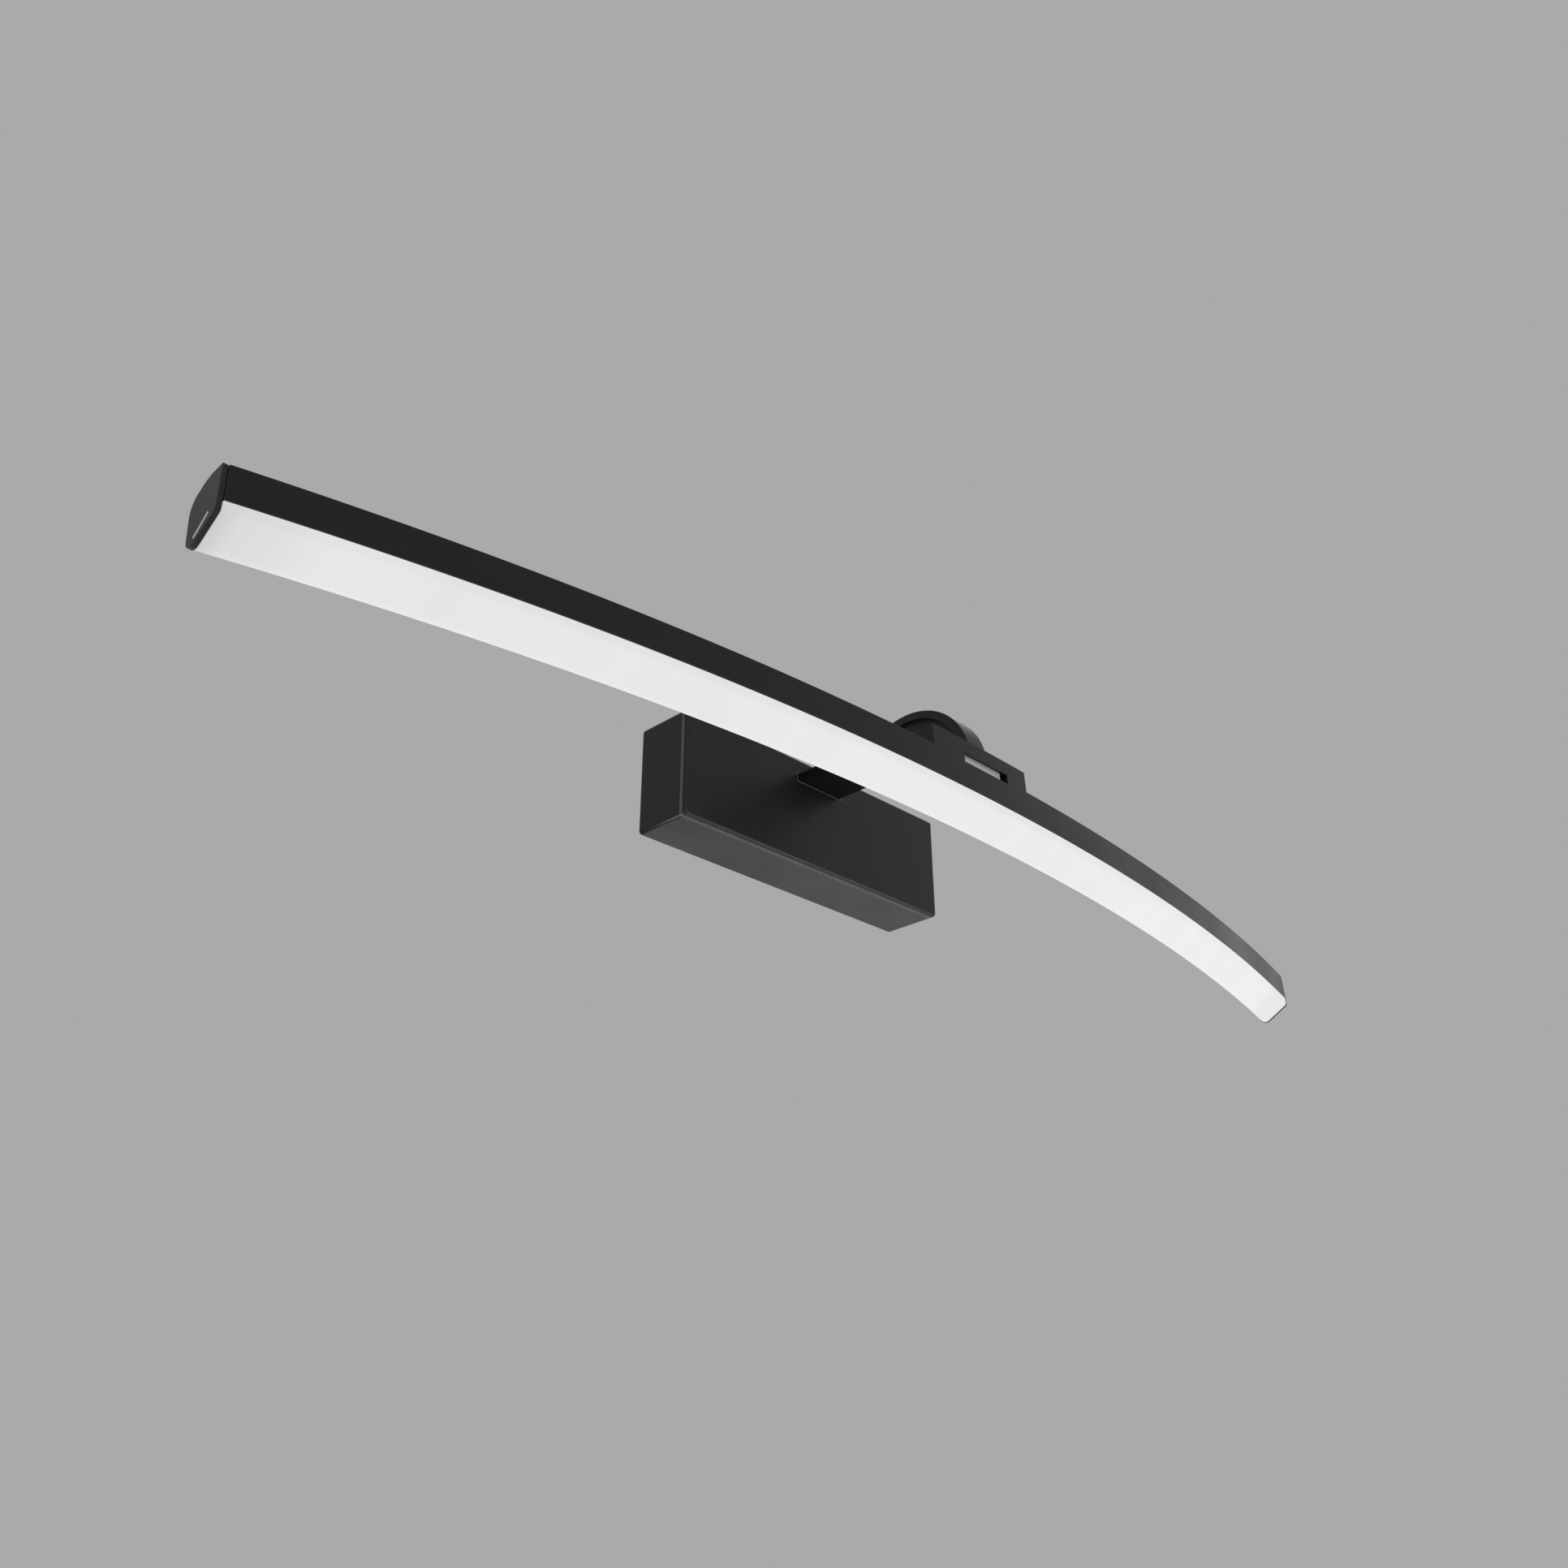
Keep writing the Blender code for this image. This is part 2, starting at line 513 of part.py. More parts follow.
def make_base_cover():
    """Folded steel cover of the base, open at the wall, with a slot for the arm."""
    low = Vector((-BASE_WIDTH / 2, -BASE_DEPTH, -BASE_HEIGHT / 2))
    high = Vector((BASE_WIDTH / 2, -GAP, BASE_HEIGHT / 2))
    cover = block("base_cover", low, high, BLACK, bevel=1.2 * MM)
    wall = Vector((COVER_WALL, COVER_WALL, COVER_WALL))
    cut(cover, block_mesh("inside", low + wall, (high.x - COVER_WALL, 0.01, high.z - COVER_WALL)))
    cut(cover, block_mesh("arm_slot", (-ARM_WIDTH / 2 - GAP, -BASE_DEPTH - MM, ARM_BOTTOM - GAP),
                          (ARM_WIDTH / 2 + GAP, -BASE_DEPTH + 3 * MM, ARM_BOTTOM + ARM_HEIGHT + GAP)))
    y = -9 * MM
    for x in (-40 * MM, 40 * MM):
        cut(cover, rod_mesh("screw_hole", 1.7 * MM, (x, y, high.z + MM), (x, y, high.z - 3 * MM), 16))
    return cover


def make_wall_plate():
    """Steel plate on the wall, with two folded tabs that take the cover's screws."""
    half_width = PLATE_WIDTH / 2
    half_height = PLATE_HEIGHT / 2
    low = (-half_width, -PLATE_THICKNESS, -half_height)
    plate = block("wall_plate", low, (half_width, 0, half_height), ZINC)
    for x in (-40 * MM, 40 * MM):
        join(plate, block_mesh("tab", (x - 6 * MM, -15 * MM, half_height - 0.2 * MM),
                               (x + 6 * MM, -0.5 * MM, half_height + 1.3 * MM)))
        cut(plate, rod_mesh("tab_hole", 1.7 * MM, (x, -9 * MM, 0.03), (x, -9 * MM, 0.01), 16))
    for x in (-WALL_SLOT_X, WALL_SLOT_X):
        cut(plate, block_mesh("wall_slot", (x - 5 * MM, -0.01, -2.2 * MM), (x + 5 * MM, 0.01, 2.2 * MM)))
    through = Vector((0, 10 * MM, 0))
    cut(plate, rod_mesh("cable_hole", 6 * MM, CABLE_HOLE - through, CABLE_HOLE + through, 32))
    for x, z in ((-7 * MM, -2 * MM), (7 * MM, -2 * MM), (34 * MM, 12 * MM)):
        cut(plate, rod_mesh("screw_hole", 1.8 * MM, (x, -0.01, z), (x, 0.01, z), 16))
    for x, name in ((-40 * MM, "left"), (40 * MM, "right")):
        make_screw("cover_screw_" + name, (x, -9 * MM, BASE_HEIGHT / 2), (0, 0, 1), 2.8 * MM, 1.3 * MM,
                   1.4 * MM, 5 * MM)
    return plate


def make_arm_bracket():
    """Folded bracket that carries the arm on the wall plate, with its four screws."""
    back = -PLATE_THICKNESS - GAP
    shelf_top = ARM_BOTTOM - GAP
    outline = [(back, -8 * MM), (back, shelf_top), (-22 * MM, shelf_top), (-22 * MM, shelf_top - 2 * MM),
               (back - 2 * MM, shelf_top - 2 * MM), (back - 2 * MM, -8 * MM)]
    bracket = make_object("arm_bracket", plate_mesh("arm_bracket", outline, -11 * MM, 11 * MM), ZINC)
    arm = bpy.data.objects["arm"]
    for x, name in ((-7 * MM, "left"), (7 * MM, "right")):
        cut(bracket, rod_mesh("plate_hole", 1.8 * MM, (x, -0.01, -2 * MM), (x, 0.01, -2 * MM), 16))
        make_screw("bracket_plate_screw_" + name, (x, back - 2 * MM, -2 * MM), (0, -1, 0), 2.8 * MM,
                   1.6 * MM, 1.5 * MM, 3.2 * MM, look=ZINC)
        y = -15 * MM
        for target in (bracket, arm):
            cut(target, rod_mesh("arm_hole", 1.6 * MM, (x, y, 0), (x, y, 0.03), 16))
        make_screw("arm_screw_" + name, (x, y, shelf_top - 2 * MM), (0, 0, -1), 2.6 * MM, 1.5 * MM, 1.3 * MM,
                   4.0 * MM, look=ZINC)


def make_driver():
    """LED driver in its white case, and the strap that holds it on the wall plate."""
    back = -PLATE_THICKNESS - GAP
    low = Vector((-64 * MM, -22 * MM, -17 * MM))
    high = Vector((-18 * MM, back, 8 * MM))
    block("led_driver", low, high, WHITE_PLASTIC, bevel=1.2 * MM)
    strap = [(back, high.z + 7 * MM), (back - 1 * MM, high.z + 7 * MM), (back - 1 * MM, high.z + 1.3 * MM),
             (low.y - 1.3 * MM, high.z + 1.3 * MM), (low.y - 1.3 * MM, high.z - 5 * MM),
             (low.y - GAP, high.z - 5 * MM), (low.y - GAP, high.z + GAP), (back, high.z + GAP)]
    made = make_object("driver_strap", plate_mesh("driver_strap", strap, -48 * MM, -36 * MM), ZINC)
    x = -42 * MM
    z = high.z + 4.3 * MM
    for target in (made, bpy.data.objects["wall_plate"]):
        cut(target, rod_mesh("strap_hole", 1.6 * MM, (x, -0.01, z), (x, 0.01, z), 12))
    make_screw("driver_screw", (x, back - MM, z), (0, -1, 0), 2.5 * MM, 1.4 * MM, 1.3 * MM, 2.5 * MM,
               look=ZINC)


def make_terminals():
    """Two-pole terminal block with its clamp screws, the earth screw and the cable grommet."""
    back = -PLATE_THICKNESS - GAP
    front = -15 * MM
    body = block("terminal_block", (30 * MM, front, -9 * MM), (46 * MM, back, 3 * MM), WHITE_PLASTIC,
                 bevel=0.6 * MM)
    for x, name in ((34 * MM, "left"), (42 * MM, "right")):
        z = -3 * MM
        cut(body, rod_mesh("screw_well", 2.2 * MM, (x, front - MM, z), (x, front + 5 * MM, z), 16))
        cut(body, rod_mesh("wire_way", 1.6 * MM, (x, -9 * MM, -0.02), (x, -9 * MM, 0.02), 12))
        make_screw("terminal_screw_" + name, (x, front + 3.2 * MM, z), (0, -1, 0), 1.8 * MM, 1.2 * MM,
                   1.0 * MM, 1.4 * MM, look=BRASS)
    make_screw("earth_screw", (34 * MM, -PLATE_THICKNESS, 12 * MM), (0, -1, 0), 3.2 * MM, 1.8 * MM, 1.5 * MM,
               1.0 * MM, look=BRASS)
    out = Vector((0, -1, 0))
    flange_back = CABLE_HOLE - out * back
    grommet = rod("cable_grommet", 5.6 * MM, CABLE_HOLE + out * GAP, flange_back + out * MM, NYLON,
                  segments=32)
    join(grommet, rod_mesh("flange", 7.5 * MM, flange_back, flange_back + out * 1.6 * MM, 32))
    cut(grommet, rod_mesh("bore", 3.6 * MM, CABLE_HOLE - out * 10 * MM, CABLE_HOLE + out * 10 * MM, 24))


def smooth_route(points, per_span=6):
    """Points on a Catmull-Rom curve through the given points."""
    padded = [points[0] * 2 - points[1]] + points + [points[-1] * 2 - points[-2]]
    route = []
    for i in range(1, len(padded) - 2):
        a, b, c, d = padded[i - 1:i + 3]
        for step in range(per_span):
            t = step / per_span
            route.append(0.5 * (2 * b + (c - a) * t + (2 * a - 5 * b + 4 * c - d) * t ** 2
                                + (3 * b - a - 3 * c + d) * t ** 3))
    route.append(points[-1])
    return route


def make_lead(name, points, colour):
    """An insulated wire along a smooth route inside the base."""
    curve = bpy.data.curves.new(name, "CURVE")
    curve.dimensions = "3D"
    curve.bevel_depth = 0.8 * MM
    curve.bevel_resolution = 2
    curve.use_fill_caps = True
    route = smooth_route([Vector(p) * MM for p in points])
    spline = curve.splines.new("POLY")
    spline.points.add(len(route) - 1)
    for point, place in zip(spline.points, route):
        point.co = (*place, 1)
    made = bpy.data.objects.new(name, curve)
    parts.objects.link(made)
    curve.materials.append(make_material(name, (colour, 0.5, 0.0)))


def make_leads():
    """Mains and low-voltage leads between the terminal block, the driver and the arm."""
    make_lead("lead_line", [(34, -9, -10), (32, -11, -15), (22, -15, -17.5), (4, -17, -17.5), (-12, -16, -14),
                            (-17.4, -15, -12)], (0.25, 0.12, 0.05))
    make_lead("lead_neutral", [(42, -9, -10), (40, -13, -17), (24, -18, -19), (4, -20, -19), (-12, -20, -12),
                               (-17.4, -19, -8)], (0.05, 0.12, 0.4))
    make_lead("lead_positive", [(-17.4, -8, 5), (-14.8, -6.5, 8), (-13.4, -5.2, 13), (-9, -4.8, 16.2),
                                (-3.2, -6.2, 16.4), (-1.6, -11, 15.3), (-1.6, -17, 14.7), (-1.6, -46.5, 14.7)],
              (0.5, 0.03, 0.03))
    make_lead("lead_negative", [(-17.4, -14, 0), (-8, -14, 3), (7, -14, 5), (13.6, -9, 7.5), (13.4, -5.2, 13),
                                (9, -4.8, 16.2), (3.2, -6.2, 16.4), (1.6, -11, 15.3), (1.6, -17, 14.7),
                                (1.6, -46.5, 14.7)], (0.02, 0.02, 0.02))


make_fascia()
make_diffuser()
make_end_caps()
make_led_parts()
make_head_bracket()
make_head_fasteners()
make_yoke()
make_arm()
make_tilt_bolt()
make_base_cover()
make_wall_plate()
make_arm_bracket()
make_driver()
make_terminals()
make_leads()
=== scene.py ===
import json
import math

import bmesh
import bpy
from mathutils import Matrix, Quaternion, Vector


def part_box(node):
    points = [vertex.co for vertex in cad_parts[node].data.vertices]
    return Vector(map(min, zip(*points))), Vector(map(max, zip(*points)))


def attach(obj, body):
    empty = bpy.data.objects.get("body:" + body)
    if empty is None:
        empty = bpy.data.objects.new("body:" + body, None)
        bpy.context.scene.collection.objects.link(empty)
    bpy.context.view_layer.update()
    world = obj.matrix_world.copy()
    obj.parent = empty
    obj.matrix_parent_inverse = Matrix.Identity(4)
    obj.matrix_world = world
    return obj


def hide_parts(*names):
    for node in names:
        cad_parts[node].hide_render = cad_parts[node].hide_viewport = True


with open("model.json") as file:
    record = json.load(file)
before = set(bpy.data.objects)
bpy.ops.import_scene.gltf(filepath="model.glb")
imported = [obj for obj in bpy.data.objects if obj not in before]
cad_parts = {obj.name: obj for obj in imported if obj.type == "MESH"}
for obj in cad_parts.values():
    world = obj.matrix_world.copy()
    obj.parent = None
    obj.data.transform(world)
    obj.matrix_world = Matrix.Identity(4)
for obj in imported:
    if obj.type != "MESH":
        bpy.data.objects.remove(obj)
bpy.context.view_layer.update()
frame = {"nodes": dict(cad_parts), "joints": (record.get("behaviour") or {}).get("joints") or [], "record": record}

# Looks of the wall picture light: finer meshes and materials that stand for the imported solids.
# Metres, +Z up. Sections of the bar are given in the head's frame, as (out, up) from its front top edge.

MM = 0.001
PIVOT = Vector(frame["joints"][0]["pos_m"])
REST_TILT = math.radians(-3)
HEAD = Matrix.Translation(PIVOT) @ Matrix.Rotation(REST_TILT, 4, "X")
BODY_OF = {name: body for body, names in frame["record"]["behaviour"]["bodies"].items() for name in names}

# The bar: its front top edge is an arc of this radius
BAR_RADIUS = 1229 * MM
FRONT_Y = -29.9 * MM
BAR_TOP = -4.4 * MM
BAR_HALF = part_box("end_cap_right")[1].x
TUBE_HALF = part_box("diffuser")[1].x + 0.2 * MM
FASCIA_HEIGHT = 11.4 * MM
FASCIA_WALL = 1.2 * MM
FLANGE_DEPTH = 5.5 * MM
TAB_HALF = 26.5 * MM
TAB_RISE = 8.3 * MM
TAB_STRIP = 0.9 * MM
FASCIA_EDGE = 0.32 * MM
TUBE_WALL = 1.2 * MM
TUBE_FRONT_ROUND = 1.9 * MM
CAP_EDGE = 0.2 * MM
GAP = 0.3 * MM

# The slot in the tab, from corner to corner in the head's frame
SLOT_LOW = (-10 * MM, FRONT_Y - 2 * MM, -5.3 * MM)
SLOT_HIGH = (15 * MM, FRONT_Y + 1.35 * MM, -1.4 * MM)

# The slit in each end cap, from its front end to its back end, and the lit strip in it
SLIT_FRONT = (-4.0 * MM, -13.3 * MM)
SLIT_BACK = (-10.6 * MM, -18.0 * MM)
SLIT_WIDTH = 1.5 * MM
SLIT_DEPTH = 0.5 * MM
STRIP_THICKNESS = 0.3 * MM
STRIP_INSET = 0.2 * MM
STRIP_CLEARANCE = 0.1 * MM
STRIP_EDGE = 0.08 * MM

# The base's cover
COVER_SHEET = 1.2 * MM
COVER_ROUND = 1.5 * MM
SEAM_PLACE = 2.5 * MM
SEAM_WIDTH = 0.55 * MM
SEAM_DEPTH = 0.5 * MM
SCREW_HOLE_RADIUS = 1.7 * MM
CUT_REACH = 3 * MM

# Copies of CAD nodes: what counts as one point, as flat and as an edge
WELD = 0.002 * MM
FLAT_ANGLE = 0.4
EDGE_ANGLE = 35

# The light inside the tube
LIT_STRENGTH = 0.52
DIM_STRENGTH = 0.12
CHIP_PITCH = 22.1 * MM
CHIP_HALF = 1.35 * MM
CHIP_FADED = 1.55 * MM
SOFT_END = 36 * MM
RELIEF = 0.15 * MM


# Materials

def add_node(tree, kind, inputs=None, **settings):
    """A shader node with its settings, and its inputs set or linked."""
    made = tree.nodes.new("ShaderNode" + kind)
    for key, value in settings.items():
        setattr(made, key, value)
    for key, value in (inputs or {}).items():
        if isinstance(value, bpy.types.NodeSocket):
            tree.links.new(value, made.inputs[key])
        else:
            made.inputs[key].default_value = value
    return made


def between(tree, value, low, high, out_low, out_high):
    """Value mapped from one range to another."""
    inputs = {"Value": value, "From Min": low, "From Max": high, "To Min": out_low, "To Max": out_high}
    return add_node(tree, "MapRange", inputs).outputs["Result"]


def multiply(tree, first, second):
    """Product of two values."""
    return add_node(tree, "Math", {0: first, 1: second}, operation="MULTIPLY").outputs["Value"]


def blend_colour(tree, factor, first, second):
    """Colour mixed from first to second by factor."""
    mixer = add_node(tree, "Mix", {0: factor}, data_type="RGBA")
    for socket, colour in ((mixer.inputs[6], first), (mixer.inputs[7], second)):
        if isinstance(colour, bpy.types.NodeSocket):
            tree.links.new(colour, socket)
        else:
            socket.default_value = (*colour, 1)
    return mixer.outputs[2]


def place_of(tree, stretch=(1, 1, 1)):
    """Place on the object in metres, stretched."""
    coords = add_node(tree, "TexCoord")
    return add_node(tree, "Mapping", {"Vector": coords.outputs["Object"], "Scale": stretch}).outputs["Vector"]


def edge_mask(tree, radius):
    """Near 1 where the surface turns sharply, 0 on flats."""
    bevel = add_node(tree, "Bevel", {"Radius": radius}, samples=4)
    geometry = add_node(tree, "NewGeometry")
    vectors = {0: bevel.outputs["Normal"], 1: geometry.outputs["Normal"]}
    facing = add_node(tree, "VectorMath", vectors, operation="DOT_PRODUCT")
    return between(tree, facing.outputs["Value"], 0.995, 0.90, 0, 1)


def finish(name, dark, light, roughness, metallic=0.0, grain=1500, stretch=(1, 1, 1), bump=0.1, wear_and_highlight=None,
           specular=0.5, blotch=30, edge=0.5 * MM):
    """A surface with fine grain, broad changes of tone and gloss, and paler edges: partly wear, partly painted
    highlight.
    """
    made = bpy.data.materials.new(name)
    made.use_nodes = True
    tree = made.node_tree
    shader = tree.nodes["Principled BSDF"]
    fine = add_node(tree, "TexNoise", {"Vector": place_of(tree, stretch), "Scale": grain, "Detail": 3,
                                       "Roughness": 0.6}).outputs["Fac"]
    broad = add_node(tree, "TexNoise", {"Vector": place_of(tree), "Scale": blotch,
                                        "Detail": 4}).outputs["Fac"]
    tone = between(tree, broad, 0.3, 0.7, 0, 0.7)
    speck = between(tree, fine, 0.35, 0.65, 0, 0.3)
    both = add_node(tree, "Math", {0: tone, 1: speck}, operation="ADD").outputs["Value"]
    colour = blend_colour(tree, both, dark, light)
    gloss = between(tree, broad, 0.3, 0.7, roughness[0], roughness[1])
    if wear_and_highlight:
        # paler edges: partly wear, partly a painted highlight where the edges would catch the light
        mask = edge_mask(tree, edge)
        patchy = between(tree, fine, 0.3, 0.7, 0.25, 0.6)
        amount = multiply(tree, mask, patchy)
        colour = blend_colour(tree, amount, colour, wear_and_highlight)
    tree.links.new(colour, shader.inputs["Base Color"])
    tree.links.new(gloss, shader.inputs["Roughness"])
    shader.inputs["Metallic"].default_value = metallic
    shader.inputs["Specular IOR Level"].default_value = specular
    relief = add_node(tree, "Bump", {"Height": fine, "Strength": bump, "Distance": RELIEF})
    tree.links.new(relief.outputs["Normal"], shader.inputs["Normal"])
    return made


def lit_opal(name, strength):
    """Lit opal acrylic: even, softer towards the ends, with the faintest rhythm of the chips."""
    made = finish(name, (0.52, 0.51, 0.53), (0.56, 0.55, 0.57), (0.50, 0.60), grain=700, bump=0.02,
                  specular=0.25)
    tree = made.node_tree
    shader = tree.nodes["Principled BSDF"]
    place = place_of(tree)
    across = add_node(tree, "SeparateXYZ", {"Vector": place}).outputs["X"]
    distance = add_node(tree, "Math", {0: across}, operation="ABSOLUTE").outputs["Value"]
    ends = between(tree, distance, TUBE_HALF - SOFT_END, TUBE_HALF, 1, 0.84)
    ends.node.interpolation_type = "SMOOTHSTEP"
    wave = multiply(tree, across, 2 * math.pi / CHIP_PITCH)
    pulse = add_node(tree, "Math", {0: wave}, operation="COSINE").outputs["Value"]
    rhythm = between(tree, pulse, -1, 1, 0.992, 1.008)
    cloud = add_node(tree, "TexNoise", {"Vector": place, "Scale": 14, "Detail": 2}).outputs["Fac"]
    uneven = between(tree, cloud, 0.3, 0.7, 0.98, 1.02)
    power = multiply(tree, multiply(tree, multiply(tree, ends, rhythm), uneven), strength)
    shader.inputs["Emission Color"].default_value = (1.0, 0.985, 1.0, 1)
    tree.links.new(power, shader.inputs["Emission Strength"])
    return made


def chip_board():
    """White board with a pale yellow band along its row of chips."""
    made = finish("led_board", (0.80, 0.80, 0.78), (0.88, 0.88, 0.86), (0.35, 0.45), bump=0.05)
    tree = made.node_tree
    shader = tree.nodes["Principled BSDF"]
    height = add_node(tree, "SeparateXYZ", {"Vector": place_of(tree)}).outputs["Z"]
    low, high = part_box("led_strip")
    middle = (low.z + high.z) / 2
    off_line = add_node(tree, "Math", {0: height, 1: middle}, operation="SUBTRACT").outputs["Value"]
    distance = add_node(tree, "Math", {0: off_line}, operation="ABSOLUTE").outputs["Value"]
    band = between(tree, distance, CHIP_HALF, CHIP_FADED, 1, 0)
    colour = blend_colour(tree, band, shader.inputs["Base Color"].links[0].from_socket, (0.85, 0.68, 0.22))
    tree.links.new(colour, shader.inputs["Base Color"])
    return made


# pale edge colour of the black paint: partly wear, partly a painted highlight along the edges
BLACK_WEAR_AND_HIGHLIGHT = (0.10, 0.10, 0.105)
LOOKS = {
    "black_coat": finish("black_powder_coat", (0.010, 0.010, 0.012), (0.017, 0.017, 0.019), (0.36, 0.48),
                         grain=1700, bump=0.045, wear_and_highlight=BLACK_WEAR_AND_HIGHLIGHT, specular=0.30),
    # the base's cover: a near-white painted highlight along its edges and on both sides of its seam
    "cover_painted_highlight": finish("cover_coat_painted_highlight", (0.010, 0.010, 0.012), (0.017, 0.017, 0.019), (0.36, 0.48),
                          grain=1700, bump=0.045, wear_and_highlight=(0.80, 0.80, 0.83), specular=0.31, edge=0.7 * MM),
    # the arm: a darker, duller copy of the black coat, painted shade for the bar's shadow falling on it
    "arm_painted_shade": finish("arm_coat_painted_shade", (0.004, 0.004, 0.005), (0.007, 0.007, 0.008), (0.55, 0.70),
                        grain=1700, bump=0.045, wear_and_highlight=(0.03, 0.03, 0.032), specular=0.15),
    "black_moulded": finish("black_moulded", (0.009, 0.009, 0.010), (0.014, 0.014, 0.016), (0.38, 0.50),
                            grain=2400, bump=0.08, wear_and_highlight=(0.07, 0.07, 0.075)),
    "black_steel": finish("blackened_steel", (0.028, 0.028, 0.030), (0.055, 0.055, 0.058), (0.28, 0.42),
                          metallic=0.8, grain=2600, bump=0.05, wear_and_highlight=(0.32, 0.32, 0.33)),
    "zinc": finish("zinc_plate", (0.50, 0.51, 0.53), (0.68, 0.69, 0.71), (0.28, 0.46), metallic=1.0,
                   grain=900, bump=0.05, blotch=160),
    "nickel": finish("satin_nickel", (0.90, 0.90, 0.91), (0.96, 0.96, 0.97), (0.36, 0.50), metallic=0.15,
                     grain=1600, stretch=(0.06, 1, 1), bump=0.04),
    "aluminium": finish("mill_aluminium", (0.70, 0.70, 0.72), (0.82, 0.82, 0.84), (0.30, 0.45), metallic=1.0,
                        grain=1800, stretch=(0.03, 1, 1), bump=0.05),
    "brass": finish("brass", (0.62, 0.44, 0.18), (0.78, 0.60, 0.30), (0.22, 0.38), metallic=1.0, grain=1500,
                    bump=0.05),
    "nylon": finish("grey_nylon", (0.13, 0.13, 0.14), (0.19, 0.19, 0.20), (0.45, 0.6), grain=1200, bump=0.06),
    "rubber": finish("black_rubber", (0.02, 0.02, 0.02), (0.035, 0.035, 0.035), (0.6, 0.8), grain=1100,
                     bump=0.2),
    "white_moulded": finish("white_moulded", (0.76, 0.76, 0.73), (0.84, 0.84, 0.82), (0.34, 0.48), grain=1800,
                            bump=0.05),
    "brown_wire": finish("brown_insulation", (0.16, 0.07, 0.03), (0.22, 0.10, 0.045), (0.35, 0.5), bump=0.05),
    "blue_wire": finish("blue_insulation", (0.03, 0.09, 0.32), (0.05, 0.13, 0.42), (0.35, 0.5), bump=0.05),
    "red_wire": finish("red_insulation", (0.13, 0.012, 0.012), (0.18, 0.016, 0.016), (0.35, 0.5), bump=0.05),
    "black_wire": finish("black_insulation", (0.015, 0.015, 0.015), (0.025, 0.025, 0.025), (0.35, 0.5),
                         bump=0.05),
    "opal": lit_opal("opal_acrylic", LIT_STRENGTH),
    "dim_opal": lit_opal("dim_opal_acrylic", DIM_STRENGTH),
    "board": chip_board(),
}

LOOK_OF = {
    "base_cover": "cover_painted_highlight", "arm": "arm_painted_shade", "yoke": "black_coat", "fascia": "black_coat",
    "head_bracket": "black_coat", "end_cap_left": "black_moulded", "end_cap_right": "black_moulded",
    "tilt_bolt": "black_steel", "tilt_nut": "black_steel", "diffuser": "opal", "led_carrier": "aluminium",
    "led_strip": "board", "slot_bar": "nickel",
    "friction_washer_left": "nylon", "friction_washer_right": "nylon",
    "cable_grommet": "rubber", "led_driver": "white_moulded", "terminal_block": "white_moulded",
    "terminal_screw_left": "brass", "terminal_screw_right": "brass", "earth_screw": "brass",
    "lead_line": "brown_wire", "lead_neutral": "blue_wire", "lead_positive": "red_wire",
    "lead_negative": "black_wire",
}


def look_for(name):
    """The material of a CAD node."""
    if name in LOOK_OF:
        return LOOKS[LOOK_OF[name]]
    if name.startswith(("bracket_screw", "cover_screw", "yoke_screw")):
        return LOOKS["black_steel"]
    return LOOKS["zinc"]


# Mesh helpers

def new_piece(name, mesh, node, look=None):
    """A shown piece that stands for a CAD node and rides on its body."""
    made = bpy.data.objects.new(name, mesh)
    bpy.context.scene.collection.objects.link(made)
    mesh.materials.clear()
    mesh.materials.append(look or look_for(node))
    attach(made, BODY_OF[node])
    return made


def soften(target, width, segments=3, angle=30):
    """Rounded edges, with normals that keep the flats flat."""
    modifier = target.modifiers.new("rounded_edges", "BEVEL")
    modifier.width = width
    modifier.segments = segments
    modifier.limit_method = "ANGLE"
    modifier.angle_limit = math.radians(angle)
    modifier.harden_normals = True


def keep_flats_flat(target):
    """Normals led by the larger faces, so that only rounded edges shade round."""
    modifier = target.modifiers.new("flat_faces", "WEIGHTED_NORMAL")
    modifier.keep_sharp = True
    modifier.weight = 90


def smooth(mesh, angle):
    """Smooth shading that breaks at sharp edges."""
    mesh.shade_smooth()
    mesh.set_sharp_from_angle(angle=math.radians(angle))


def mesh_from(bm, name):
    """Write a bmesh to a new mesh with its faces pointing out."""
    bmesh.ops.recalc_face_normals(bm, faces=bm.faces)
    mesh = bpy.data.meshes.new(name)
    bm.to_mesh(mesh)
    bm.free()
    return mesh


def box_mesh(low, high):
    """A box between two corners, as a cutter."""
    low = Vector(low)
    high = Vector(high)
    bm = bmesh.new()
    scale = Matrix.Diagonal((*(high - low), 1))
    bmesh.ops.create_cube(bm, size=1, matrix=Matrix.Translation((low + high) / 2) @ scale)
    return mesh_from(bm, "cutter")


def rod_mesh(radius, start, end, segments):
    """A round bar between two points, as a cutter."""
    start = Vector(start)
    end = Vector(end)
    turn = Vector((0, 0, 1)).rotation_difference((end - start).normalized()).to_matrix().to_4x4()
    bm = bmesh.new()
    bmesh.ops.create_cone(bm, cap_ends=True, segments=segments, radius1=radius, radius2=radius,
                          depth=(end - start).length, matrix=Matrix.Translation((start + end) / 2) @ turn)
    return mesh_from(bm, "cutter")


def settle(target):
    """Apply a piece's modifiers to its mesh."""
    evaluated = target.evaluated_get(bpy.context.evaluated_depsgraph_get())
    mesh = bpy.data.meshes.new_from_object(evaluated)
    target.modifiers.clear()
    target.data = mesh


def cut(target, cutters):
    """Take meshes out of a piece."""
    tools = []
    for mesh in cutters:
        tool = bpy.data.objects.new("cutter", mesh)
        bpy.context.scene.collection.objects.link(tool)
        modifier = target.modifiers.new("cut", "BOOLEAN")
        modifier.operation = "DIFFERENCE"
        modifier.solver = "EXACT"
        modifier.object = tool
        tools.append(tool)
    bpy.context.view_layer.update()
    settle(target)
    for tool in tools:
        bpy.data.objects.remove(tool, do_unlink=True)


